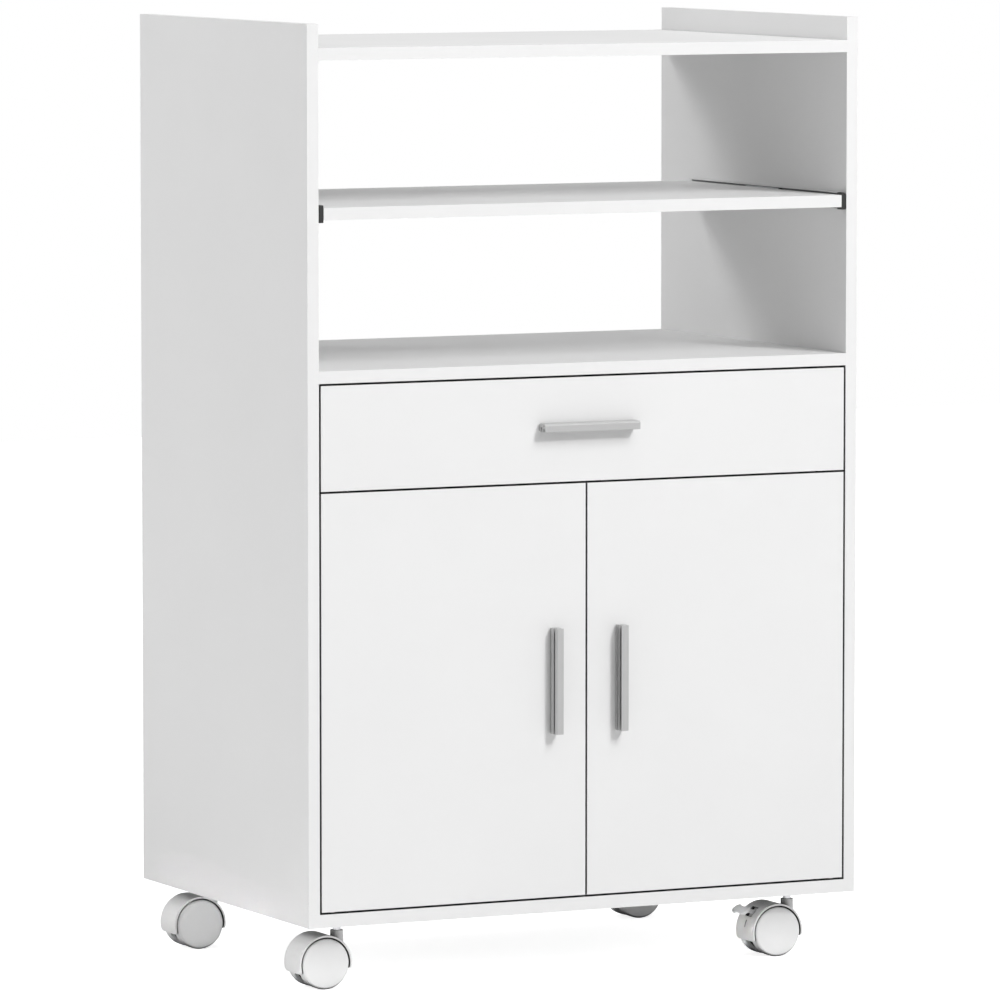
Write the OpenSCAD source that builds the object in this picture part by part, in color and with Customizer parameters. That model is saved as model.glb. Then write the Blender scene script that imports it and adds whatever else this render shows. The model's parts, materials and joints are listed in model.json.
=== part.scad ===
// Microwave cart: boards, sliding shelf, drawer, two doors and four twin-wheel casters.
// Origin: middle of the footprint, on the floor. X to the right, Y to the back, Z up.

/* [Carcass] */
// Width over the side panels
carcass_w = 600; // [560:10:760]
// Depth of the side panels, front edge to back edge
carcass_d = 400; // [385:5:480]
// Height of the carcass without its casters
carcass_h = 873; // [850:1:960]
// Thickness of the boards
board_t = 12; // [11:0.5:15]
// Thickness of the base board
base_t = 13; // [12:0.5:18]
// How far the side panels rise above the top shelf
side_rise = 23; // [5:1:40]
// Height of the cupboard top above the underside of the base
cupboard_top_h = 539.5; // [520:0.5:570]
// Thickness of the hardboard back and of the drawer bottom
thin_t = 3; // [2.5:0.5:4]
// Depth of the grooves that hold them
groove_d = 5; // [3:0.5:6]
// Distance of the back from the rear edges
back_inset = 10; // [6:1:20]
// Depth of the rail between the drawer and the doors
rail_d = 60; // [50:5:90]
// Even gap round the doors and the drawer front
front_gap = 2.1; // [1.9:0.1:3]

/* [Inner shelf] */
// Height of its underside above the underside of the base
inner_shelf_h = 207; // [180:1:240]
// Distance of its front edge from the front
inner_shelf_setback = 25; // [22:1:60]
// Spacing of the rows of pin holes
pin_pitch = 32; // [25:1:40]
// Diameter of a shelf pin
pin_d = 5; // [4:0.5:6]
// Distance of the pins from the front and back edges
pin_setback = 60; // [50:1:90]

/* [Sliding shelf] */
// Height of its upper face above the underside of the base
sliding_shelf_h = 696.7; // [650:0.1:740]
// Depth of the sliding shelf
sliding_shelf_d = 335; // [332:1:380]

/* [Ball slides] */
// Length of a slide
slide_l = 320; // [260:5:320]
// Height of a slide
slide_h = 17; // [16:0.5:20]
// Room between a side panel and what slides past it
slide_gap = 5.4; // [5.2:0.1:7]
// Thickness of the slide's steel
sheet_t = 0.9; // [0.7:0.1:1.1]
// Diameter of the balls
ball_d = 2.3; // [2:0.1:2.4]
// Length of a ball cage
cage_l = 70; // [50:1:90]
// Balls in one row of a cage
row_balls = 5; // [3:1:6]
// Depth of the black cap on the front of a runner
cap_d = 9.5; // [6:0.5:12]

/* [Drawer] */
// Height of the drawer front
drawer_front_h = 102; // [95:1:115]
// Height of the drawer box
drawer_box_h = 72; // [60:1:75]
// Length of the drawer box behind its front
drawer_box_l = 330; // [325:1:360]
// Height of the drawer bottom above the lower edge of the box
drawer_bottom_rise = 8; // [6:1:14]

/* [Door pivots] */
// Distance of the pivot from the outer edge of the door
pivot_inset = 12; // [11.5:0.5:16]
// Diameter of the pivot pins
pivot_d = 4; // [3:0.5:5]
// Thickness of the pivot plates
plate_t = 1.2; // [0.8:0.1:1.2]
// Width of the pivot plates
plate_w = 30; // [26:1:40]
// Length of the pivot plates
plate_l = 48; // [42:1:58]
// Outer diameter of the bushes
bush_d = 7; // [6.5:0.5:8]
// Length of the bushes
bush_l = 10; // [8:1:14]

/* [Handles] */
// Length of a handle
handle_l = 104; // [100:1:140]
// Width of a handle
handle_w = 8.5; // [8:0.1:12]
// How far a handle stands out from its front
handle_reach = 14; // [13:0.5:20]
// Spacing of the two screws of a handle
handle_pitch = 96; // [64:1:96]
// Height of the drawer handle's middle above the lower edge of the drawer front
drawer_handle_rise = 54.1; // [44:0.1:62]
// Height of the door handles' middle above the lower edge of the doors
door_handle_rise = 213.6; // [150:0.1:330]
// Distance of a door handle's middle from the middle of the cart
door_handle_x = 36; // [25:1:60]

/* [Fasteners] */
// Diameter of a cam lock
cam_d = 12; // [11:0.5:15]
// Height of a cam lock
cam_h = 9; // [8.5:0.5:9.5]
// Distance of a cam lock's middle from the side panel
cam_reach = 24; // [22:1:34]
// Distance of the outer cam locks from the front and back edges
cam_setback = 50; // [35:1:80]
// Diameter of the wood screws
screw_d = 3.5; // [3:0.5:4]
// Diameter of the heads of the wood screws
screw_head_d = 6.4; // [5.8:0.2:7]
// Length of the screws through the base into the side panels
base_screw_l = 40; // [30:1:50]
// Diameter of the handle screws
handle_screw_d = 4; // [3:0.5:4]

/* [Casters] */
// Height from the floor to the underside of the base
caster_h = 65; // [63:1:75]
// Diameter of a wheel
wheel_d = 50; // [46:1:50]
// Width of one wheel
wheel_w = 11.5; // [9:0.5:11.5]
// Width over both wheels
caster_w = 38; // [38:0.5:44]
// Distance of the axle behind the stem
caster_trail = 20; // [18:0.5:24]
// Room between a wheel and its hood
hood_gap = 1.2; // [0.8:0.1:1.6]
// Wall of the hood
hood_wall = 1.8; // [1.4:0.1:2.2]
// How far the hood's skirt reaches below the axle at the trailing side
skirt_drop = 9; // [4:0.5:12]
// Thickness of the web between the two wheels
web_t = 6; // [4:0.5:6]
// Diameter of an axle
axle_d = 6; // [5:0.5:8]
// Diameter of a stem
stem_d = 8; // [7:0.5:9]
// Diameter of the collar round a stem
collar_d = 12.7; // [11.7:0.1:13.5]
// Distance of the collar below the underside of the base
collar_drop = 9.7; // [8:0.1:11]
// Distance of the stems from the sides
caster_inset_x = 51.3; // [50:0.1:90]
// Distance of the front stems from the front edge
caster_inset_front = 46.8; // [40:0.1:90]
// Distance of the rear stems from the back edge
caster_inset_back = 53; // [40:0.1:90]

/* [Brake] */
// Width over the two wings of the pedal
pedal_w = 28; // [22:1:34]
// Length of the pedal down its slope
pedal_l = 11.5; // [9:0.5:12]
// Slope of the pedal
pedal_slope = 36; // [25:1:45]
// Thickness of the pedal
pedal_t = 2.6; // [2:0.2:3]
// How far the pedal is pressed down
pedal_travel = 8; // [4:1:8]
// Diameter of the brake pin
brake_pin_d = 3; // [2.5:0.5:4]

/* [Hidden] */
$fn = 48;

// Clearances: seated parts, round pins in their holes, and how far a cut runs past a face
fit = 0.1;
snug = 0.05;
over = 1;

// Planes of the carcass
inner_x = carcass_w / 2 - board_t;
front_y = (handle_reach - carcass_d) / 2;
back_y = front_y + carcass_d;
base_z = caster_h;
base_top = base_z + base_t;
top_z = base_z + carcass_h;
cupboard_top_z = base_z + cupboard_top_h;
cupboard_under = cupboard_top_z - board_t;
top_shelf_under = top_z - side_rise - board_t;
front_back_y = front_y + board_t;
back_panel_y = back_y - back_inset - thin_t;

// Fronts, from the top down
drawer_front_top = cupboard_under - front_gap;
drawer_front_z = drawer_front_top - drawer_front_h;
door_top = drawer_front_z - front_gap;
door_z = base_top + front_gap;
door_edge_x = inner_x - front_gap;
drawer_handle_z = drawer_front_z + drawer_handle_rise;
door_handle_z = door_z + door_handle_rise;

// Rail, whose pivot plates lie in the gap between the drawer front and the doors
plate_room = 0.35;
rail_z = drawer_front_z - plate_room;
rail_top = rail_z + board_t;
stop_gap = 1.5;
rail_y = front_back_y + stop_gap;

// Slides: x is counted from the side panel's inner face
flange_w = slide_gap - 1.1;
ball_x = flange_w - 1.3;
ball_room = ball_d + 0.1;
ball_z = slide_h / 2 - sheet_t - ball_room / 2;
race_r = ball_d / 2 + 0.3;
runner_h = 2 * ball_z - ball_room;
runner_w = slide_gap - sheet_t - 1.05;
cage_x = sheet_t + 0.25;
cage_t = 0.5;
cage_tab_w = ball_x + 1.1 - cage_x;
cage_stop = 5;
slide_travel = slide_l - cage_l - 2 * cage_stop;
cage_start = slide_travel / 2 + cage_stop;
cap_play = 0.3;
rail_screws = [30, slide_l - 30];
runner_screws = [45, slide_l - 75];
slide_half_w = inner_x - slide_gap;

// Sliding shelf
sliding_shelf_top = base_z + sliding_shelf_h;
sliding_shelf_z = sliding_shelf_top - board_t;
shelf_slide_z = sliding_shelf_z + board_t / 2;
shelf_runner_y = front_y + cap_d;
shelf_slide_y = shelf_runner_y + 0.5;

// Drawer box
drawer_clear = 1.8;
drawer_z = rail_top + drawer_clear;
drawer_top = drawer_z + drawer_box_h;
drawer_back_y = front_back_y + drawer_box_l;
drawer_inner_x = slide_half_w - board_t;
drawer_bottom_z = drawer_z + drawer_bottom_rise;
drawer_slide_z = drawer_z + drawer_box_h / 2;
drawer_slide_y = front_back_y + 2;

// Inner shelf and its pins
inner_shelf_z = base_z + inner_shelf_h;
pin_depth = 9;
tongue_l = 9;
tongue_w = 7;
tongue_t = 6;
pin_z = inner_shelf_z - tongue_t / 2;
pin_ys = [front_y + pin_setback, back_y - pin_setback];

// Cam locks and bolts
cam_ys = [front_y + cam_setback, back_y - cam_setback];
rail_cam_ys = [rail_y + rail_d - 16];
bolt_bite = 8;
bolt_r = 2.5;
bolt_head_r = 3;
bolt_way_r = bolt_head_r + 0.3;

// Screws
head_h = (screw_head_d - screw_d) / 2 + 0.2;
slide_screw_l = 10;
plate_screw_l = 10;
box_screw_l = 30;
base_screw_ys = [front_y + 40, (front_y + back_y) / 2, back_y - 40];
base_screw_x = inner_x + board_t / 2;
pan_r = handle_screw_d * 0.85;
pan_h = 2.2;
handle_bite = 4.2;

// Door pivots
pivot_x = door_edge_x - pivot_inset;
pivot_y = front_y + board_t / 2;
plate_setback = 0.5;
plate_screw_ys = [front_y + plate_setback + plate_l - 24, front_y + plate_setback + plate_l - 8];
plate_outer_x = inner_x - cap_play;
bush_flange_t = 0.6;
pin_reach = bush_l - 2;

// Door catch
catch_w = 46;
catch_d = 14;
catch_h = 13.5;
strike_w = 14;
strike_h = 10;
strike_t = 1.2;
strike_x = 13;

// Handle profile, across and outward from the front
handle_foot_in = 1;
handle_rib_outs = [2.4, 6.6];
handle_rib_t = 2.2;
handle_wall_t = 3.9;
handle_neck_in = 3;
handle_neck_t = 2.2;
handle_plate_t = 2;
handle_lip_t = 0.8;
handle_bevel = 1.8;

// Casters, each about its stem axis, counted down from the underside of the base
caster_xs = carcass_w / 2 - caster_inset_x;
caster_front_y = front_y + caster_inset_front;
caster_rear_y = back_y - caster_inset_back;
wheel_r = wheel_d / 2;
axle_z = wheel_r - caster_h;
hood_in = wheel_r + hood_gap;
hood_out = hood_in + hood_wall;
hood_w = caster_w - 1;
skirt_lift = 3.5;
skirt_corner_r = 4;
wheel_gap = caster_w - 2 * wheel_w;
boss_l = wheel_gap - 1;
boss_r = axle_d / 2 + 4;
stem_grip = 20;
collar_l = stem_grip + 6;
insert_wall = 1.75;
insert_l = 11;
insert_r = stem_d / 2 + insert_wall;
wheel_skin = 2;
wheel_rim = 3.5;
wheel_round = 1.5;
hub_r = boss_r - 0.5;
wheel_ribs = 6;
axle_end = wheel_skin + 0.3;

// Brake lever, from the axle, to the back and up
brake_pivot = [-11, 17];
pedal_mid = [-31.8, 22];
arm_end = [-29, 21.6];
arm_r = 2.8;
arm_tip_r = 1.6;
ear_gap = 0.4;
ear_t = 2.4;
window_from = 122;
window_to = 140 + pedal_travel;
window_w = web_t + 2 * (ear_gap + ear_t + 0.6);
slot_from = 156;
slot_to = 171;
slot_w = 1.8;

module slab(low, high) {
  translate(low) cube(high - low);
}

module rod_x(at, l, r) {
  translate(at) rotate([0, 90, 0]) cylinder(h = l, r = r);
}

module rod_y(at, l, r) {
  translate(at) rotate([-90, 0, 0]) cylinder(h = l, r = r);
}

module rod_z(at, l, r) {
  translate(at) cylinder(h = l, r = r);
}

module both_sides() {
  children();
  mirror([1, 0, 0]) children();
}

// A profile drawn in X and Z, run along Y
module along_y(y, l) {
  translate([0, y + l, 0]) rotate([90, 0, 0]) linear_extrude(height = l) children();
}

// Countersunk screw along +Z with its head's face at the origin, and its hole
module screw(l) {
  cylinder(h = head_h, d1 = screw_head_d, d2 = screw_d);
  cylinder(h = l, d = screw_d);
}

module screw_hole(l) {
  cylinder(h = head_h, d1 = screw_head_d + 2 * snug, d2 = screw_d + 2 * snug);
  translate([0, 0, -over]) cylinder(h = over, d = screw_head_d + 2 * snug);
  cylinder(h = l + fit, d = screw_d + 2 * snug);
}

// ---- Carcass ----

module at_base_screws() {
  for (y = base_screw_ys) translate([-base_screw_x, y, base_z]) children();
}

module at_rail_screws(y, z) {
  for (d = rail_screws) translate([-inner_x + sheet_t, y + d, z]) rotate([0, -90, 0]) children();
}

module at_lower_plate_screws() {
  for (y = plate_screw_ys)
    translate([-plate_outer_x + plate_w / 2, y, base_top + plate_t]) rotate([180, 0, 0]) children();
}

module at_upper_plate_screws() {
  for (y = plate_screw_ys) translate([-plate_outer_x + plate_w / 2, y, rail_z - plate_t]) children();
}

module bolt_holes(ys, z) {
  for (y = ys) rod_x([-inner_x - bolt_bite, y, z + board_t / 2], bolt_bite + over, bolt_r + snug);
}

module side_panel() {
  difference() {
    slab([-carcass_w / 2, front_y, base_top], [-inner_x, back_y, top_z]);
    slab([-inner_x - groove_d, back_panel_y - fit, base_top - over],
         [-inner_x + over, back_panel_y + thin_t + fit, cupboard_under]);
    for (y = pin_ys, row = [-1:1])
      rod_x([-inner_x - pin_depth - fit, y, pin_z + row * pin_pitch], pin_depth + over, pin_d / 2 + snug);
    bolt_holes(cam_ys, top_shelf_under);
    bolt_holes(cam_ys, cupboard_under);
    bolt_holes(rail_cam_ys, rail_z);
    at_base_screws() screw_hole(base_screw_l);
    at_rail_screws(shelf_slide_y, shelf_slide_z) screw_hole(slide_screw_l);
    at_rail_screws(drawer_slide_y, drawer_slide_z) screw_hole(slide_screw_l);
  }
}

module left_side_panel() color("white") side_panel();

module right_side_panel() color("white") mirror([1, 0, 0]) side_panel();

module base_panel() color("white") difference() {
  slab([-carcass_w / 2, front_y, base_z], [carcass_w / 2, back_y, base_top]);
  both_sides() at_base_screws() screw_hole(base_screw_l);
  both_sides() at_lower_plate_screws() screw_hole(plate_screw_l);
  at_casters() rod_z([0, 0, -over], insert_l + over, insert_r + snug);
}

// Pockets for the cam locks of one board and the ways of their bolts
module cam_pockets(ys, z) {
  both_sides() for (y = ys) {
    rod_z([-inner_x + cam_reach, y, z - over], cam_h + over, cam_d / 2 + snug);
    rod_x([-inner_x - over, y, z + board_t / 2], cam_reach + over, bolt_way_r);
  }
}

module divider_rail() color("white") difference() {
  slab([-inner_x, rail_y, rail_z], [inner_x, rail_y + rail_d, rail_top]);
  cam_pockets(rail_cam_ys, rail_z);
  both_sides() at_upper_plate_screws() screw_hole(plate_screw_l);
}

module fixed_board(z) difference() {
  slab([-inner_x, front_y, z], [inner_x, back_y, z + board_t]);
  cam_pockets(cam_ys, z);
}

module cupboard_top() color("white") fixed_board(cupboard_under);

module top_shelf() color("white") fixed_board(top_shelf_under);

module back_panel() color("whitesmoke")
  slab([-inner_x - groove_d + fit, back_panel_y, base_top],
       [inner_x + groove_d - fit, back_panel_y + thin_t, cupboard_under]);

module inner_shelf() color("white")
  slab([-inner_x + 1, front_y + inner_shelf_setback, inner_shelf_z],
       [inner_x - 1, back_panel_y - 2, inner_shelf_z + board_t]);

module shelf_pins() color("silver") both_sides() for (y = pin_ys) {
  rod_x([-inner_x - pin_depth, y, pin_z], pin_depth + over, pin_d / 2);
  slab([-inner_x, y - tongue_w / 2, pin_z - tongue_t / 2],
       [-inner_x + tongue_l, y + tongue_w / 2, inner_shelf_z]);
}

module cam_lock() difference() {
  rod_z([-inner_x + cam_reach, 0, 0], cam_h, cam_d / 2);
  rod_x([-inner_x, 0, board_t / 2], cam_reach + bolt_head_r, bolt_way_r);
  for (turn = [0, 90])
    translate([-inner_x + cam_reach, 0, 0]) rotate([0, 0, turn]) slab([-3, -0.5, -over], [3, 0.5, 1]);
}

module cam_bolt() {
  rod_x([-inner_x - bolt_bite, 0, board_t / 2], bolt_bite, bolt_r);
  rod_x([-inner_x, 0, board_t / 2], cam_reach - bolt_head_r, bolt_r - 0.2);
  rod_x([-inner_x + cam_reach - bolt_head_r, 0, board_t / 2], bolt_head_r, bolt_head_r);
}

module cam_set(ys, z) {
  both_sides() for (y = ys) translate([0, y, z]) {
    cam_lock();
    cam_bolt();
  }
}

module cam_fasteners() color("silver") {
  cam_set(cam_ys, top_shelf_under);
  cam_set(cam_ys, cupboard_under);
  cam_set(rail_cam_ys, rail_z);
}

module carcass_screws() color("gray") both_sides() {
  at_base_screws() screw(base_screw_l);
  at_rail_screws(shelf_slide_y, shelf_slide_z) screw(slide_screw_l);
  at_rail_screws(drawer_slide_y, drawer_slide_z) screw(slide_screw_l);
  at_lower_plate_screws() screw(plate_screw_l);
  at_upper_plate_screws() screw(plate_screw_l);
}

// ---- Ball slides, drawn on the left side ----

module races() {
  for (side = [-1, 1]) translate([ball_x, side * ball_z]) circle(r = race_r);
}

module rail_profile() difference() {
  translate([0, -slide_h / 2]) square([flange_w, slide_h]);
  translate([sheet_t, -slide_h / 2 + sheet_t]) square([slide_gap, slide_h - 2 * sheet_t]);
  races();
}

module runner_profile() difference() {
  translate([slide_gap - runner_w, -runner_h / 2]) square([runner_w, runner_h]);
  translate([0, -runner_h / 2 + sheet_t]) square([slide_gap - sheet_t, runner_h - 2 * sheet_t]);
  races();
}

module slide_rail(y, z) difference() {
  translate([-inner_x, 0, z]) along_y(y, slide_l) rail_profile();
  at_rail_screws(y, z) screw_hole(slide_screw_l);
}

module at_runner_screws(y, z) {
  for (d = runner_screws)
    translate([-inner_x + slide_gap - sheet_t, y + d, z]) rotate([0, 90, 0]) children();
}

// The runner starts at y_from, ahead of the rail's own start
module slide_runner(y_from, y, z) difference() {
  translate([-inner_x, 0, z]) along_y(y_from, y + slide_l - y_from) runner_profile();
  at_runner_screws(y, z) screw_hole(slide_screw_l);
}

module ball_cage(y, z) {
  y_from = y + cage_start;
  pitch = cage_l / row_balls;
  difference() {
    union() {
      slab([-inner_x + cage_x, y_from, z - ball_z - cage_t],
           [-inner_x + cage_x + cage_t, y_from + cage_l, z + ball_z + cage_t]);
      for (side = [-1, 1])
        slab([-inner_x + cage_x, y_from, z + side * ball_z - cage_t],
             [-inner_x + cage_x + cage_tab_w, y_from + cage_l, z + side * ball_z + cage_t]);
    }
    for (i = [0:row_balls - 1], side = [-1, 1])
      rod_z([-inner_x + ball_x, y_from + (i + 0.5) * pitch, z + side * ball_z - over],
            2 * over, ball_d / 2 + fit);
  }
  for (i = [0:row_balls - 1], side = [-1, 1])
    translate([-inner_x + ball_x, y_from + (i + 0.5) * pitch, z + side * ball_z]) sphere(d = ball_d);
}

module shelf_slide_rails() color("gainsboro") both_sides() slide_rail(shelf_slide_y, shelf_slide_z);

module drawer_slide_rails() color("gainsboro") both_sides() slide_rail(drawer_slide_y, drawer_slide_z);

module shelf_ball_cages() color("silver") both_sides() ball_cage(shelf_slide_y, shelf_slide_z);

module drawer_ball_cages() color("silver") both_sides() ball_cage(drawer_slide_y, drawer_slide_z);

// ---- Sliding shelf ----

module sliding_shelf() color("white") difference() {
  slab([-slide_half_w, front_y, sliding_shelf_z],
       [slide_half_w, front_y + sliding_shelf_d, sliding_shelf_top]);
  both_sides() at_runner_screws(shelf_slide_y, shelf_slide_z) screw_hole(slide_screw_l);
}

module shelf_runner() slide_runner(shelf_runner_y, shelf_slide_y, shelf_slide_z);

module left_shelf_runner() color("gainsboro") shelf_runner();

module right_shelf_runner() color("gainsboro") mirror([1, 0, 0]) shelf_runner();

// The cap fills the gap beside the shelf's front corner; its top falls towards the side panel
module shelf_runner_caps() color("dimgray") both_sides()
  translate([-inner_x, 0, shelf_slide_z]) along_y(front_y, cap_d)
    polygon([[cap_play, -slide_h / 2], [slide_gap, -slide_h / 2], [slide_gap, slide_h / 2],
             [slide_gap - 2, slide_h / 2], [cap_play, slide_h / 2 - 1.6]]);

module shelf_screws() color("gray") both_sides()
  at_runner_screws(shelf_slide_y, shelf_slide_z) screw(slide_screw_l);

// ---- Drawer ----

module drawer_bottom_groove(low_y, high_y, half_x) {
  slab([-half_x, low_y, drawer_bottom_z - fit], [half_x, high_y, drawer_bottom_z + thin_t + fit]);
}

module at_drawer_handle_screws() {
  for (side = [-1, 1]) translate([side * handle_pitch / 2, 0, drawer_handle_z]) children();
}

module drawer_front() color("white") difference() {
  slab([-door_edge_x, front_y, drawer_front_z], [door_edge_x, front_back_y, drawer_front_top]);
  drawer_bottom_groove(front_back_y - groove_d, front_back_y + over, drawer_inner_x + groove_d);
  at_drawer_handle_screws() handle_screw_hole();
}

module at_box_screws() {
  for (z = [drawer_bottom_z + thin_t + 8, drawer_top - 12])
    translate([-slide_half_w, drawer_back_y - board_t / 2, z]) rotate([0, 90, 0]) children();
}

module drawer_side() difference() {
  slab([-slide_half_w, front_back_y, drawer_z], [-drawer_inner_x, drawer_back_y, drawer_top]);
  drawer_bottom_groove(front_back_y - over, drawer_back_y - board_t + groove_d, drawer_inner_x + groove_d);
  at_runner_screws(drawer_slide_y, drawer_slide_z) screw_hole(slide_screw_l);
  at_box_screws() screw_hole(box_screw_l);
}

module drawer_left_side() color("white") drawer_side();

module drawer_right_side() color("white") mirror([1, 0, 0]) drawer_side();

module drawer_back() color("white") difference() {
  slab([-drawer_inner_x, drawer_back_y - board_t, drawer_z], [drawer_inner_x, drawer_back_y, drawer_top]);
  drawer_bottom_groove(drawer_back_y - board_t - over, drawer_back_y - board_t + groove_d,
                       drawer_inner_x + over);
  both_sides() at_box_screws() screw_hole(box_screw_l);
}

module drawer_bottom() color("whitesmoke")
  slab([-drawer_inner_x - groove_d + fit, front_back_y - groove_d + fit, drawer_bottom_z],
       [drawer_inner_x + groove_d - fit, drawer_back_y - board_t + groove_d - fit, drawer_bottom_z + thin_t]);

module drawer_runner() slide_runner(drawer_slide_y, drawer_slide_y, drawer_slide_z);

module left_drawer_runner() color("gainsboro") drawer_runner();

module right_drawer_runner() color("gainsboro") mirror([1, 0, 0]) drawer_runner();

module drawer_screws() color("gray") {
  at_drawer_handle_screws() handle_screw();
  both_sides() at_runner_screws(drawer_slide_y, drawer_slide_z) screw(slide_screw_l);
  both_sides() at_box_screws() screw(box_screw_l);
}

// ---- Handles: an aluminium bar with a front plate on a neck ----

// x runs across the bar from its walled side, y outward from the front
module handle_profile() {
  out = handle_reach - handle_plate_t;
  wall_out = handle_rib_outs[1] + handle_rib_t;
  neck_end = handle_neck_in + handle_neck_t;
  translate([handle_foot_in, 0]) square([handle_w - 2 * handle_foot_in, handle_rib_outs[0] + 0.5]);
  translate([0, handle_rib_outs[0]]) square([handle_wall_t, wall_out - handle_rib_outs[0]]);
  for (rib = handle_rib_outs) translate([0, rib]) square([handle_w, handle_rib_t]);
  translate([handle_neck_in, wall_out - 0.5]) square([handle_neck_t, out - wall_out + 1]);
  polygon([[0, out], [neck_end, out], [neck_end + 0.8, handle_reach - handle_lip_t],
           [handle_w, handle_reach - handle_lip_t], [handle_w, handle_reach - 0.2],
           [handle_w - 0.2, handle_reach], [handle_bevel, handle_reach], [0, handle_reach - handle_bevel]]);
}

// Upright bar with its middle at the origin's height and its walled side at x = 0
module handle_bar() difference() {
  translate([0, front_y, -handle_l / 2]) mirror([0, 1, 0]) linear_extrude(height = handle_l) handle_profile();
  for (side = [-1, 1]) translate([handle_w / 2, 0, side * handle_pitch / 2]) handle_screw_hole();
}

// Screw along Y from the back of a front into the bar, and its hole
module handle_screw() {
  rod_y([0, front_y - handle_bite, 0], handle_bite + board_t, handle_screw_d / 2);
  rod_y([0, front_back_y, 0], pan_h, pan_r);
}

module handle_screw_hole()
  rod_y([0, front_y - handle_bite - fit, 0], handle_bite + board_t + over, handle_screw_d / 2 + snug);

// The bar turned on its side, with its walled side up
module drawer_handle() color("darkgray")
  translate([0, 0, drawer_handle_z + handle_w / 2]) rotate([0, 90, 0]) handle_bar();

// ---- Doors ----

module door_handle_place() {
  translate([-door_handle_x - handle_w / 2, 0, door_handle_z]) children();
}

module door_handle_screw_places() {
  for (side = [-1, 1]) translate([-door_handle_x, 0, door_handle_z + side * handle_pitch / 2]) children();
}

module door() difference() {
  slab([-door_edge_x, front_y, door_z], [-front_gap / 2, front_back_y, door_top]);
  rod_z([-pivot_x, pivot_y, door_z - over], bush_l + over, bush_d / 2 + snug);
  rod_z([-pivot_x, pivot_y, door_top - bush_l], bush_l + over, bush_d / 2 + snug);
  door_handle_screw_places() handle_screw_hole();
}

module door_bushes() difference() {
  union() {
    rod_z([-pivot_x, pivot_y, door_z - bush_flange_t], bush_l + bush_flange_t, bush_d / 2);
    rod_z([-pivot_x, pivot_y, door_z - bush_flange_t], bush_flange_t, bush_d / 2 + 1.5);
    rod_z([-pivot_x, pivot_y, door_top - bush_l], bush_l, bush_d / 2);
  }
  rod_z([-pivot_x, pivot_y, door_z - over], bush_l + 2 * over, pivot_d / 2 + snug);
  rod_z([-pivot_x, pivot_y, door_top - bush_l - over], bush_l + 2 * over, pivot_d / 2 + snug);
}

module door_strike()
  slab([-strike_x - strike_w / 2, front_back_y, door_top - 2 - strike_h],
       [-strike_x + strike_w / 2, front_back_y + strike_t, door_top - 2]);

module door_screws() door_handle_screw_places() handle_screw();

module left_door() color("white") door();

module left_door_handle() color("darkgray") door_handle_place() handle_bar();

module left_door_bushes() color("ivory") door_bushes();

module left_door_screws() color("gray") door_screws();

module left_door_strike() color("silver") door_strike();

module right_door() color("white") mirror([1, 0, 0]) door();

module right_door_handle() color("darkgray") mirror([1, 0, 0]) door_handle_place() handle_bar();

module right_door_bushes() color("ivory") mirror([1, 0, 0]) door_bushes();

module right_door_screws() color("gray") mirror([1, 0, 0]) door_screws();

module right_door_strike() color("silver") mirror([1, 0, 0]) door_strike();

module door_pivot_plates() color("silver") both_sides() {
  difference() {
    slab([-plate_outer_x, front_y + plate_setback, base_top],
         [-plate_outer_x + plate_w, front_y + plate_setback + plate_l, base_top + plate_t]);
    at_lower_plate_screws() screw_hole(plate_screw_l);
  }
  rod_z([-pivot_x, pivot_y, base_top], door_z + pin_reach - base_top, pivot_d / 2);
  difference() {
    slab([-plate_outer_x, front_y + plate_setback, rail_z - plate_t],
         [-plate_outer_x + plate_w, front_y + plate_setback + plate_l, rail_z]);
    at_upper_plate_screws() screw_hole(plate_screw_l);
  }
  rod_z([-pivot_x, pivot_y, door_top - pin_reach], rail_z - door_top + pin_reach, pivot_d / 2);
}

// Double magnetic catch under the rail, with a pocket for each magnet
module door_catch() color("gainsboro") difference() {
  slab([-catch_w / 2, rail_y, rail_z - catch_h], [catch_w / 2, rail_y + catch_d, rail_z]);
  both_sides()
    slab([-strike_x - strike_w / 2, rail_y - over, rail_z - catch_h + 2],
         [-strike_x + strike_w / 2, rail_y + 0.8, rail_z - 3]);
}

// ---- Casters ----

module at_caster(x, y) translate([x, y, base_z]) children();

module at_casters() {
  for (x = [-caster_xs, caster_xs], y = [caster_front_y, caster_rear_y]) at_caster(x, y) children();
}

module at_axle() translate([-caster_trail, 0, axle_z]) children();

module caster_inserts() color("gray") at_casters() difference() {
  rod_z([0, 0, 0], insert_l, insert_r);
  rod_z([0, 0, -over], insert_l + 2 * over, stem_d / 2 + snug);
}

module caster_stems() color("silver") at_casters()
  rod_z([0, 0, -collar_drop - stem_grip], collar_drop + stem_grip + insert_l - 0.5, stem_d / 2);

// A profile drawn in X and Z about the axle, run across the caster
module across(w) rotate([90, 0, 0]) linear_extrude(height = w, center = true) children();

module above_skirt() difference() {
  children();
  across(caster_w + 2 * over)
    polygon([[-2 * hood_out, -skirt_drop - skirt_lift / 2], [2 * hood_out, -skirt_drop + 1.5 * skirt_lift],
             [2 * hood_out, -2 * hood_out], [-2 * hood_out, -2 * hood_out]]);
}

// What is cut off one end of the skirt to round its two corners
module skirt_corners(x, z) {
  inner = hood_w / 2 - skirt_corner_r;
  for (turn = [0, 1]) mirror([0, turn, 0]) difference() {
    slab([x - 5, inner, z - over], [x + 5, hood_w / 2 + over, z + skirt_corner_r]);
    rod_x([x - 6, inner, z + skirt_corner_r], 12, skirt_corner_r);
  }
}

module hood_arch() difference() {
  above_skirt() across(hood_w) difference() {
    circle(r = hood_out);
    circle(r = hood_in);
  }
  skirt_corners(-hood_out, -skirt_drop);
  skirt_corners(hood_out, -skirt_drop + skirt_lift);
}

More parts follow.
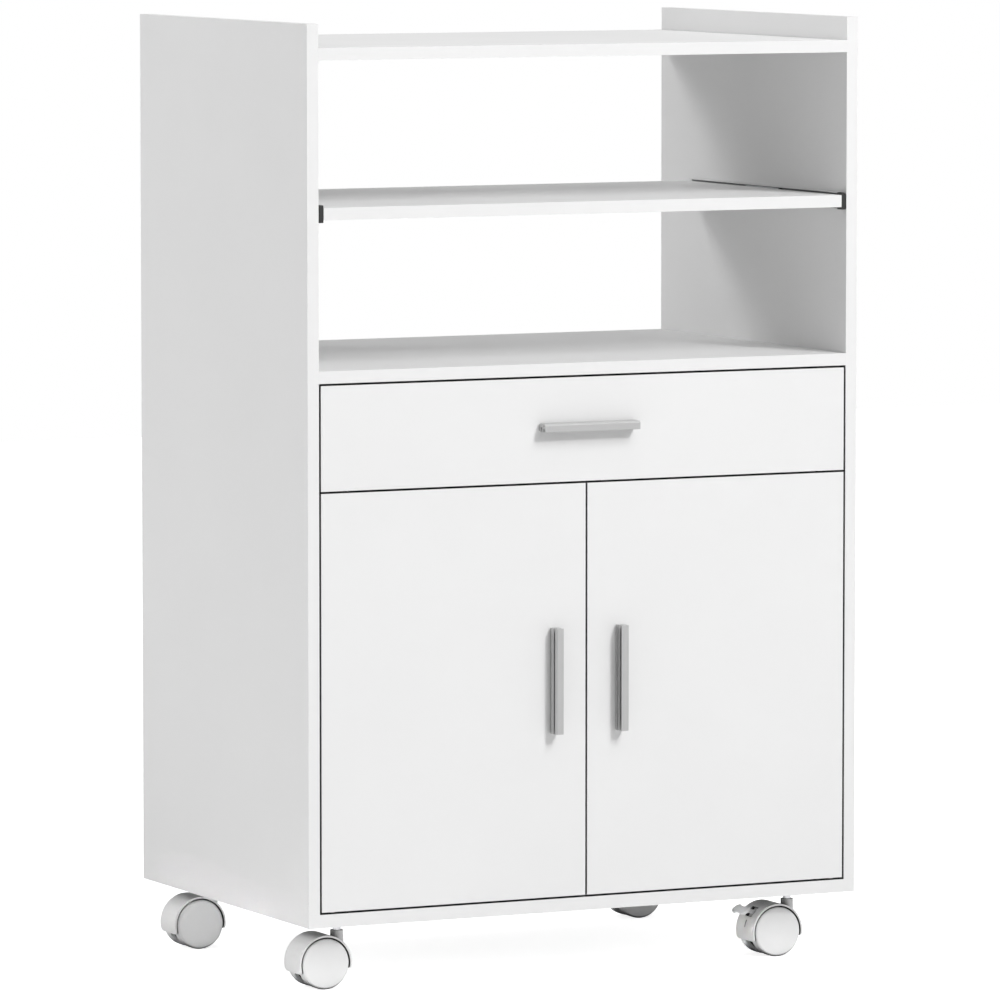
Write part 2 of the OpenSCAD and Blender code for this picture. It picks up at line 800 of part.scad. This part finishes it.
// Sector of the arch between two angles
module arch_sector(from, to, w) across(w)
  polygon([[0, 0], 2 * hood_out * [cos(from), sin(from)], 2 * hood_out * [cos(to), sin(to)]]);

module hood(braked) difference() {
  union() {
    at_axle() difference() {
      hood_arch();
      if (braked) {
        arch_sector(window_from, window_to, window_w);
        arch_sector(slot_from, slot_to, slot_w);
      }
    }
    at_axle() above_skirt() across(web_t) circle(r = hood_in + fit);
    at_axle() across(boss_l) circle(r = boss_r);
    rod_z([0, 0, -collar_drop - collar_l], collar_l, collar_d / 2);
  }
  rod_z([0, 0, -collar_drop - stem_grip - fit], stem_grip + fit + over, stem_d / 2 + snug);
  at_axle() rod_y([0, -caster_w / 2, 0], caster_w, axle_d / 2 + snug);
  if (braked) at_axle() rod_y([brake_pivot.x, -web_t, brake_pivot.y], 2 * web_t, brake_pin_d / 2 + snug);
}

module axle() at_axle() rod_y([0, -caster_w / 2 + axle_end, 0], caster_w - 2 * axle_end, axle_d / 2);

// One wheel: closed outer face, round tread edge, and ribs inside between hub and rim
module wheel() at_axle() translate([0, -caster_w / 2, 0]) rotate([-90, 0, 0]) {
  rotate_extrude() difference() {
    polygon([[0, 0], [wheel_r - wheel_round, 0], [wheel_r, wheel_round], [wheel_r, wheel_w - 0.6],
             [wheel_r - 0.6, wheel_w], [0, wheel_w]]);
    translate([hub_r, wheel_skin]) square([wheel_r - wheel_rim - hub_r, wheel_w]);
    translate([0, wheel_skin]) square([axle_d / 2 + snug, wheel_w]);
  }
  for (turn = [0:360 / wheel_ribs:359]) rotate([0, 0, turn])
    slab([hub_r - 0.5, -0.9, wheel_skin - 0.5], [wheel_r - wheel_rim + 0.5, 0.9, wheel_w - 1.5]);
}

module other_wheel() mirror([0, 1, 0]) wheel();

module caster_hood(x, y, braked) color("white") at_caster(x, y) hood(braked);

module caster_axle(x, y) color("silver") at_caster(x, y) axle();

module caster_wheel(x, y, facing) color("whitesmoke") at_caster(x, y)
  if (facing < 0) wheel(); else other_wheel();

module front_left_hood() caster_hood(-caster_xs, caster_front_y, false);
module front_left_axle() caster_axle(-caster_xs, caster_front_y);
module front_left_outer_wheel() caster_wheel(-caster_xs, caster_front_y, -1);
module front_left_inner_wheel() caster_wheel(-caster_xs, caster_front_y, 1);
module front_right_hood() caster_hood(caster_xs, caster_front_y, true);
module front_right_axle() caster_axle(caster_xs, caster_front_y);
module front_right_outer_wheel() caster_wheel(caster_xs, caster_front_y, -1);
module front_right_inner_wheel() caster_wheel(caster_xs, caster_front_y, 1);
module rear_left_hood() caster_hood(-caster_xs, caster_rear_y, false);
module rear_left_axle() caster_axle(-caster_xs, caster_rear_y);
module rear_left_outer_wheel() caster_wheel(-caster_xs, caster_rear_y, 1);
module rear_left_inner_wheel() caster_wheel(-caster_xs, caster_rear_y, -1);
module rear_right_hood() caster_hood(caster_xs, caster_rear_y, false);
module rear_right_axle() caster_axle(caster_xs, caster_rear_y);
module rear_right_outer_wheel() caster_wheel(caster_xs, caster_rear_y, 1);
module rear_right_inner_wheel() caster_wheel(caster_xs, caster_rear_y, -1);

// Pedal wings, an arm through the hood's window, and ears that straddle the web on their pin
module brake_lever() color("white") at_caster(caster_xs, caster_front_y) at_axle() {
  ear_mid = web_t / 2 + ear_gap + ear_t / 2;
  for (side = [-1, 1]) translate([0, side * ear_mid, 0]) across(ear_t) hull() {
    translate(brake_pivot) circle(r = arm_r);
    translate(arm_end) circle(r = arm_tip_r);
  }
  rod_y([brake_pivot.x, -ear_mid, brake_pivot.y], 2 * ear_mid, brake_pin_d / 2);
  translate([pedal_mid.x, 0, pedal_mid.y]) rotate([0, -pedal_slope, 0]) pedal();
}

module pedal() translate([0, 0, -pedal_t / 2]) linear_extrude(height = pedal_t) {
  wing_r = pedal_l / 2;
  for (side = [-1, 1]) translate([0, side * (pedal_w / 2 - wing_r)]) circle(r = wing_r);
  square([pedal_l * 0.7, pedal_w - pedal_l], center = true);
}

left_side_panel();
right_side_panel();
base_panel();
divider_rail();
cupboard_top();
top_shelf();
back_panel();
inner_shelf();
shelf_pins();
cam_fasteners();
carcass_screws();
shelf_slide_rails();
drawer_slide_rails();
door_pivot_plates();
door_catch();
caster_inserts();
caster_stems();
sliding_shelf();
left_shelf_runner();
right_shelf_runner();
shelf_runner_caps();
shelf_screws();
shelf_ball_cages();
drawer_ball_cages();
drawer_front();
drawer_left_side();
drawer_right_side();
drawer_back();
drawer_bottom();
left_drawer_runner();
right_drawer_runner();
drawer_handle();
drawer_screws();
left_door();
left_door_handle();
left_door_bushes();
left_door_screws();
left_door_strike();
right_door();
right_door_handle();
right_door_bushes();
right_door_screws();
right_door_strike();
front_left_hood();
front_left_axle();
front_left_outer_wheel();
front_left_inner_wheel();
front_right_hood();
front_right_axle();
front_right_outer_wheel();
front_right_inner_wheel();
rear_left_hood();
rear_left_axle();
rear_left_outer_wheel();
rear_left_inner_wheel();
rear_right_hood();
rear_right_axle();
rear_right_outer_wheel();
rear_right_inner_wheel();
brake_lever();
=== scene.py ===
import json
import math

import bmesh
import bpy
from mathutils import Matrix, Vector

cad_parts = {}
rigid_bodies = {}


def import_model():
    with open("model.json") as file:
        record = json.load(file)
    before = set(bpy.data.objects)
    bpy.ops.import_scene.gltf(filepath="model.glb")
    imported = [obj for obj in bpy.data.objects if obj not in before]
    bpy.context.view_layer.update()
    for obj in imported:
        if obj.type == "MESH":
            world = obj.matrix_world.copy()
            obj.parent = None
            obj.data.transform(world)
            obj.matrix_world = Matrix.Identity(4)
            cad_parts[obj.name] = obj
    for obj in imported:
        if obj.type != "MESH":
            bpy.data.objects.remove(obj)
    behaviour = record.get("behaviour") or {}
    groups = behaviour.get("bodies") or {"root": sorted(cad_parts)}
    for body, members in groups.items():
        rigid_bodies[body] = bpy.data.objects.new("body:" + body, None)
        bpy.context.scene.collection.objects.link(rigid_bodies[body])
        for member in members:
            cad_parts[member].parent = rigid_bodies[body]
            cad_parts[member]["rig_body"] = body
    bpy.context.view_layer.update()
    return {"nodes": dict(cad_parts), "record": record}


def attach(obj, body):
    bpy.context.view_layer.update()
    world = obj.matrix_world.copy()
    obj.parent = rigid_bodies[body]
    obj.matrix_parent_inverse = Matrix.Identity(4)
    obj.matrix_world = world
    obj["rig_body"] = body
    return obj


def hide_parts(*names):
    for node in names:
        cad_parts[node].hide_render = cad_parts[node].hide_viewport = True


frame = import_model()
nodes = frame["nodes"]
scene = bpy.context.scene
corners = ["front_left", "front_right", "rear_left", "rear_right"]
print("frame loaded:", len(nodes), "nodes")


class Wire:
    # one output socket; arithmetic on it adds Math nodes

    def __init__(self, paint, socket):
        self.paint = paint
        self.socket = socket

    def combine(self, operation, first, second):
        return self.paint.add("ShaderNodeMath", {"operation": operation}, {0: first, 1: second})

    def __add__(self, other):
        return self.combine("ADD", self, other)

    def __radd__(self, other):
        return self.combine("ADD", other, self)

    def __sub__(self, other):
        return self.combine("SUBTRACT", self, other)

    def __rsub__(self, other):
        return self.combine("SUBTRACT", other, self)

    def __mul__(self, other):
        return self.combine("MULTIPLY", self, other)

    def __rmul__(self, other):
        return self.combine("MULTIPLY", other, self)


class Paint:
    # the nodes of a material or of the world, and the one method that adds them

    def __init__(self, owner, end="ShaderNodeOutputMaterial"):
        self.owner = owner
        self.owner.use_nodes = True
        self.tree = self.owner.node_tree
        self.tree.nodes.clear()
        self.end = self.tree.nodes.new(end)

    def add(self, kind, settings=None, sockets=None, out=0):
        node = self.tree.nodes.new(kind)
        for key, value in (settings or {}).items():
            setattr(node, key, value)
        for key, value in (sockets or {}).items():
            if isinstance(value, Wire):
                self.tree.links.new(value.socket, node.inputs[key])
            else:
                node.inputs[key].default_value = value
        return Wire(self, node.outputs[out])

    def finish(self, surface):
        self.tree.links.new(surface.socket, self.end.inputs["Surface"])
        return self.owner


def materialPaint(name):
    return Paint(bpy.data.materials.new(name))


def grey(level):
    return (level, level, level, 1)


def blendColours(paint, factor, first, second):
    return paint.add("ShaderNodeMix", {"data_type": "RGBA"}, {0: factor, 6: first, 7: second}, 2)


def noise(paint, place, scale, detail=2.0, roughness=0.5):
    return paint.add("ShaderNodeTexNoise", {}, {
        "Vector": place,
        "Scale": scale,
        "Detail": detail,
        "Roughness": roughness,
    })


def stretched(paint, place, scale):
    return paint.add("ShaderNodeMapping", {}, {"Vector": place, "Scale": scale})


def restPlace(paint):
    return paint.add("ShaderNodeTexCoord", out="Object")


# Painted shade for narrow gaps: reach in metres, and the shares of open sky for full painted shade and for
# none
paintedGapShade = {"reach": 0.009, "dark": 0.16, "clear": 0.46, "colour": 0.004}
# the casters' painted shade reaches further, darkening the hood under the base and the gaps around the
# wheels
casterPaintedGapShade = {"reach": 0.022, "dark": 0.2, "clear": 0.6, "colour": 0.004}
paintedGapShadeSamples = 12


def withPaintedGapShade(paint, colour, shadeInGaps):
    # painted shade: the colour, gone nearly black where two pieces stand close together, where shade falls
    settings = {"samples": paintedGapShadeSamples}
    openSky = paint.add("ShaderNodeAmbientOcclusion", settings, {"Distance": shadeInGaps["reach"]}, "AO")
    clearness = paint.add("ShaderNodeMapRange", {}, {
        "Value": openSky,
        "From Min": shadeInGaps["dark"],
        "From Max": shadeInGaps["clear"],
    })
    return blendColours(paint, clearness, grey(shadeInGaps["colour"]), colour)


# How deep a full bump of a fine skin is, in metres
skinDepth = 0.0001


def coated(paint, colour, roughness, height, strength, depth=skinDepth, metal=0.0, shadeInGaps=paintedGapShade):
    # the surface that all materials of the cart share, with painted shade in narrow gaps
    bump = paint.add("ShaderNodeBump", {}, {"Height": height, "Strength": strength, "Distance": depth})
    return paint.finish(paint.add("ShaderNodeBsdfPrincipled", {}, {
        "Base Color": withPaintedGapShade(paint, colour, shadeInGaps),
        "Metallic": metal,
        "Roughness": roughness,
        "Normal": bump,
    }))


def varied(middle, span, pattern):
    # a value that a pattern from 0 to 1 moves about its middle
    return middle + span * (pattern - 0.5)


# Camera solved from the edges of the boards in the photograph
camera = {
    "place": (-3.41047, -6.95984, 1.1469),
    "yaw": 26.10768,
    "pitch": -5.10884,
    "lens": 279.986,
    "sensor": 36,
    "near": 0.1,
    "far": 60,
}

cameraData = bpy.data.cameras.new("camera")
cameraData.lens = camera["lens"]
cameraData.sensor_width = camera["sensor"]
cameraData.clip_start = camera["near"]
cameraData.clip_end = camera["far"]
cameraObject = bpy.data.objects.new("camera", cameraData)
cameraObject.location = camera["place"]
cameraObject.rotation_euler = (math.radians(90 + camera["pitch"]), 0, math.radians(-camera["yaw"]))
scene.collection.objects.link(cameraObject)
scene.camera = cameraObject
print("camera placed")


# White melamine board: a satin film with a faint pressed grain
melamine = {
    "colour": 0.80,
    "mottle": 0.012,
    "cloudScale": 9.0,
    "gloss": 0.42,
    "unevenness": 0.06,
    "grain": 0.05,
    "grainScale": 1400.0,
    "grainShape": (1, 1, 0.35),
}


def melaminePaint(name, level, roughness):
    paint = materialPaint(name)
    place = restPlace(paint)
    cloud = noise(paint, place, melamine["cloudScale"])
    grain = noise(paint, stretched(paint, place, melamine["grainShape"]), melamine["grainScale"])
    colour = blendColours(paint, cloud, grey(level - melamine["mottle"]), grey(level + melamine["mottle"]))
    return coated(paint, colour, varied(roughness, melamine["unevenness"], grain), grain, melamine["grain"])


# Anodised aluminium: drawn lines along the bar
anodised = {
    "colour": 0.52,
    "tone": 0.03,
    "metal": 0.6,
    "roughness": 0.46,
    "unevenness": 0.1,
    "lines": 0.06,
    "lineDepth": 0.00005,
    "lineScale": 1.0,
    "lineDetail": 3.0,
    "alongScale": 60,
    "acrossScale": 3000,
}


def anodisedPaint(name, along):
    paint = materialPaint(name)
    shape = tuple(anodised["alongScale" if axis == along else "acrossScale"] for axis in "xyz")
    place = stretched(paint, restPlace(paint), shape)
    lines = noise(paint, place, anodised["lineScale"], anodised["lineDetail"])
    level = anodised["colour"]
    colour = blendColours(paint, lines, grey(level - anodised["tone"]), grey(level + anodised["tone"]))
    return coated(paint, colour, varied(anodised["roughness"], anodised["unevenness"], lines), lines,
                  anodised["lines"], anodised["lineDepth"], anodised["metal"])


# Moulded plastic: even colour, a slight flow pattern and a fine skin
moulded = {"dark": 0.97, "light": 1.02, "flowScale": 70.0, "skinScale": 2600.0, "unevenness": 0.05}


def mouldedPaint(name, level, roughness, texture=0.03, tint=(1, 1, 1), shadeInGaps=paintedGapShade):
    paint = materialPaint(name)
    place = restPlace(paint)
    flow = noise(paint, place, moulded["flowScale"])
    skin = noise(paint, place, moulded["skinScale"])
    dark, light = [tuple(level * moulded[tone] * part for part in tint) + (1,) for tone in ["dark", "light"]]
    colour = blendColours(paint, flow, dark, light)
    return coated(paint, colour, varied(roughness, moulded["unevenness"], flow), skin, texture, shadeInGaps=shadeInGaps)


# Plated or drawn steel: a spangle in tone and roughness
steel = {
    "dark": 0.9,
    "light": 1.08,
    "spangleDetail": 4.0,
    "spangleRoughness": 0.6,
    "fineness": 6,
    "unevenness": 0.12,
    "texture": 0.04,
}


def steelPaint(name, colour, roughness, speckle):
    paint = materialPaint(name)
    place = restPlace(paint)
    spangle = noise(paint, place, speckle, steel["spangleDetail"], steel["spangleRoughness"])
    fine = noise(paint, place, speckle * steel["fineness"])
    dark, light = [tuple(min(1, part * steel[tone]) for part in colour) + (1,) for tone in ["dark", "light"]]
    tones = blendColours(paint, spangle, dark, light)
    sheen = varied(roughness, steel["unevenness"], spangle)
    return coated(paint, tones, sheen, fine, steel["texture"], metal=1.0)


finishes = {
    "white_board": melaminePaint("melamine", melamine["colour"], melamine["gloss"]),
    "hardboard": melaminePaint("painted_hardboard", 0.78, 0.6),
    "zinc": steelPaint("zinc", (0.62, 0.63, 0.65), 0.42, 500.0),
    "screw_steel": steelPaint("screw_steel", (0.55, 0.55, 0.57), 0.38, 900.0),
    "rail_steel": mouldedPaint("rail_enamel", 0.72, 0.38),
    "black_plastic": mouldedPaint("black_plastic", 0.02, 0.5),
    "white_plastic": mouldedPaint("hood_plastic", 0.80, 0.36, shadeInGaps=casterPaintedGapShade),
    "wheel_nylon": mouldedPaint("wheel_nylon", 0.84, 0.34, shadeInGaps=casterPaintedGapShade),
    "nylon": mouldedPaint("bush_nylon", 0.78, 0.5, 0.05, (1, 0.985, 0.95)),
    "bar_aluminium": anodisedPaint("bar_aluminium_upright", "z"),
    "chrome_steel": steelPaint("stem_chrome", (0.86, 0.86, 0.88), 0.12, 700.0),
    "axle_steel": steelPaint("axle_steel", (0.6, 0.6, 0.62), 0.3, 800.0),
}
# Pieces that don't wear the finish of their slot
ownFinishes = {
    "drawer_handle": anodisedPaint("bar_aluminium_flat", "x"),
    # painted shade: the door pivot plates are near-black, standing in for the shade at the ends of the door
    # gaps
    "door_pivot_plates": steelPaint("painted_shade_steel", (0.03, 0.03, 0.03), 0.6, 500.0),
}
slotOf = {entry["node"]: entry["material_slot"] for entry in frame["record"]["subparts"]}
for name, node in nodes.items():
    material = ownFinishes.get(name, finishes[slotOf[name]])
    node.data.materials.clear()
    node.data.materials.append(material)
print("materials made:", len(finishes) + len(ownFinishes))


def bodyOf(name):
    return nodes[name]["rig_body"]


def applyModifiers(obj):
    bpy.context.view_layer.update()
    shown = obj.evaluated_get(bpy.context.evaluated_depsgraph_get())
    mesh = bpy.data.meshes.new_from_object(shown)
    obj.modifiers.clear()
    obj.data = mesh


# How edges are broken and rounded: angles in degrees, the weld in metres
softening = {"sharpFrom": 35, "flatBelow": 1, "weld": 1e-6, "roundSegments": 5}


def softened(name, width, segments=2, rounded=None):
    # the node's own shape with its edges broken, as sanding or moulding leaves them
    # rounded: which edges are rounded further first, and by how many millimetres
    mesh = nodes[name].data.copy()
    mesh.name = name + "_shape"
    work = bmesh.new()
    work.from_mesh(mesh)
    flat = math.radians(softening["flatBelow"])
    bmesh.ops.remove_doubles(work, verts=work.verts, dist=softening["weld"])
    bmesh.ops.dissolve_limit(work, angle_limit=flat, verts=work.verts, edges=work.edges)
    if rounded:
        isRounded, radius = rounded
        chosen = [edge for edge in work.edges if isRounded(edge)]
        bmesh.ops.bevel(work, geom=chosen, offset=radius / 1000, segments=softening["roundSegments"],
                        profile=0.5, affect="EDGES", clamp_overlap=True)
    for face in work.faces:
        face.smooth = True
    work.to_mesh(mesh)
    work.free()
    obj = bpy.data.objects.new(name + "_shape", mesh)
    scene.collection.objects.link(obj)
    bevel = obj.modifiers.new("edge", "BEVEL")
    bevel.width = width / 1000
    bevel.segments = segments
    bevel.limit_method = "ANGLE"
    bevel.angle_limit = math.radians(softening["sharpFrom"])
    bevel.use_clamp_overlap = True
    bevel.miter_outer = "MITER_ARC"
    normals = obj.modifiers.new("normals", "WEIGHTED_NORMAL")
    normals.keep_sharp = True
    applyModifiers(obj)
    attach(obj, bodyOf(name))
    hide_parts(name)


# Widest edge breaks, in millimetres. The guard against overlaps narrows the whole bevel of a
# piece to what its tightest spot allows: to under 0.15 on most boards and on the handles
edgeBreaks = {
    "board": 0.5,
    "handle": 0.3,
    "cap": 0.6,
    "hood": 0.5,
    "wheel": 0.4,
    "tread": 1.0,
    "lever": 0.9,
    "leverSegments": 3,
}

for name in nodes:
    if slotOf[name] == "white_board":
        softened(name, edgeBreaks["board"])
print("boards done")

for name in ["drawer_handle", "left_door_handle", "right_door_handle"]:
    softened(name, edgeBreaks["handle"])
softened("shelf_runner_caps", edgeBreaks["cap"])
print("handles and caps done")

# Where a wheel's turned edges lie, in metres from its middle, and how sharp they are in degrees
turnedEdges = {"leastRadius": 0.0231, "leastOffset": 0.0035, "leastAngle": 20}


def middle(name):
    points = [vertex.co for vertex in nodes[name].data.vertices]
    return Vector([(min(p[i] for p in points) + max(p[i] for p in points)) / 2 for i in range(3)])


def treadEdge(wheel, hood):
    # the two turned edges between a wheel's disc and its tread
    centre = middle(wheel)
    out = 1 if centre.y > middle(hood).y else -1

    def test(edge):
        for vertex in edge.verts:
            around = math.hypot(vertex.co.x - centre.x, vertex.co.z - centre.z)
            offset = out * (vertex.co.y - centre.y)
            if around < turnedEdges["leastRadius"] or offset < turnedEdges["leastOffset"]:
                return False
        return edge.calc_face_angle(0) > math.radians(turnedEdges["leastAngle"])

    return test


for corner in corners:
    hood = corner + "_hood"
    softened(hood, edgeBreaks["hood"])
    for side in ["outer", "inner"]:
        wheel = corner + "_" + side + "_wheel"
        softened(wheel, edgeBreaks["wheel"], rounded=(treadEdge(wheel, hood), edgeBreaks["tread"]))
softened("brake_lever", edgeBreaks["lever"], edgeBreaks["leverSegments"])
print("casters done")


# Floor: white to the camera, but it keeps the cart's shadow
floor = {"size": 12.0, "glow": 0.82, "colour": 0.85, "mottle": 0.005, "cloudScale": 2.0}


def floorPaint():
    paint = materialPaint("floor")
    cloud = noise(paint, restPlace(paint), floor["cloudScale"])
    level = floor["colour"]
    colour = blendColours(paint, cloud, grey(level - floor["mottle"]), grey(level + floor["mottle"]))
    matte = paint.add("ShaderNodeBsdfDiffuse", {}, {"Color": colour})
    light = paint.add("ShaderNodeEmission", {}, {"Color": grey(1), "Strength": floor["glow"]})
    both = paint.add("ShaderNodeAddShader", {}, {0: matte, 1: light})
    seen = paint.add("ShaderNodeLightPath", out="Is Camera Ray")
    return paint.finish(paint.add("ShaderNodeMixShader", {}, {0: seen, 1: matte, 2: both}))


floorMesh = bpy.data.meshes.new("floor")
half = floor["size"] / 2
outline = [(-half, -half, 0), (half, -half, 0), (half, half, 0), (-half, half, 0)]
floorMesh.from_pydata(outline, [], [(0, 1, 2, 3)])
floorMesh.materials.append(floorPaint())
floorObject = bpy.data.objects.new("floor", floorMesh)
scene.collection.objects.link(floorObject)

# Surroundings: white to the camera, dimmer as light, a little brighter again in reflections
surround = {"ambient": 0.30, "sheen": 0.24}

world = bpy.data.worlds.new("world")
scene.world = world
sky = Paint(world, "ShaderNodeOutputWorld")
seen = sky.add("ShaderNodeLightPath", out="Is Camera Ray")
glossy = sky.add("ShaderNodeLightPath", out="Is Glossy Ray")
strength = surround["ambient"] + surround["sheen"] * glossy
light = sky.add("ShaderNodeBackground", {}, {"Color": grey(1), "Strength": strength})
white = sky.add("ShaderNodeBackground", {}, {"Color": grey(1), "Strength": 1.0})
sky.finish(sky.add("ShaderNodeMixShader", {}, {0: seen, 1: light, 2: white}))

# Lamps: place and size in metres, power in watts. The cards are small low lamps for the casters
usualLamp = {"aim": (0, 0, 0.5), "spread": 180}
lamps = {
    "front_key": {"place": (2.4, -6.2, 4.7), "size": 0.9, "power": 200},
    "high_key": {"place": (1.2, -3.3, 4.0), "size": 1.5, "power": 86},
    "soft_left": {"place": (-1.8, -2.6, 4.3), "size": 3.5, "power": 15},
    "back_left": {"place": (-4.5, 2.2, 2.65), "size": 1.0, "power": 54},
    "back_high": {"place": (-1.7, 3.7, 3.4), "size": 2.5, "power": 54},
    "top_fill": {"place": (0.0, 0.0, 4.0), "size": 3.0, "power": 15},
    "low_left": {"place": (-4.0, 0.0, 0.2), "size": 0.35, "power": 9, "aim": (0, 0, 0.05)},
    "hood_card": {
        "place": (-2.0, -0.6, 0.035),
        "size": 0.05,
        "power": 0.006,
        "aim": (0, -0.1, 0.035),
        "spread": 8,
    },
    "wheel_card": {
        "place": (-1.2, -1.6, 0.035),
        "size": 0.05,
        "power": 0.0115,
        "aim": (-0.25, 0.15, 0.03),
        "spread": 5,
    },
    "brake_card": {
        "place": (-1.5, 0.15, 0.035),
        "size": 0.05,
        "power": 0.0085,
        "aim": (0.25, -0.16, 0.035),
        "spread": 5,
    },
}
for name, own in lamps.items():
    lamp = {**usualLamp, **own}
    data = bpy.data.lights.new(name, "AREA")
    data.shape = "SQUARE"
    data.size = lamp["size"]
    data.energy = lamp["power"]
    data.spread = math.radians(lamp["spread"])
    obj = bpy.data.objects.new(name, data)
    obj.location = lamp["place"]
    aim = Vector(lamp["aim"]) - Vector(lamp["place"])
    obj.rotation_euler = aim.to_track_quat("-Z", "Y").to_euler()
    scene.collection.objects.link(obj)

scene.view_settings.view_transform = "Standard"
print("stage and lamps done")
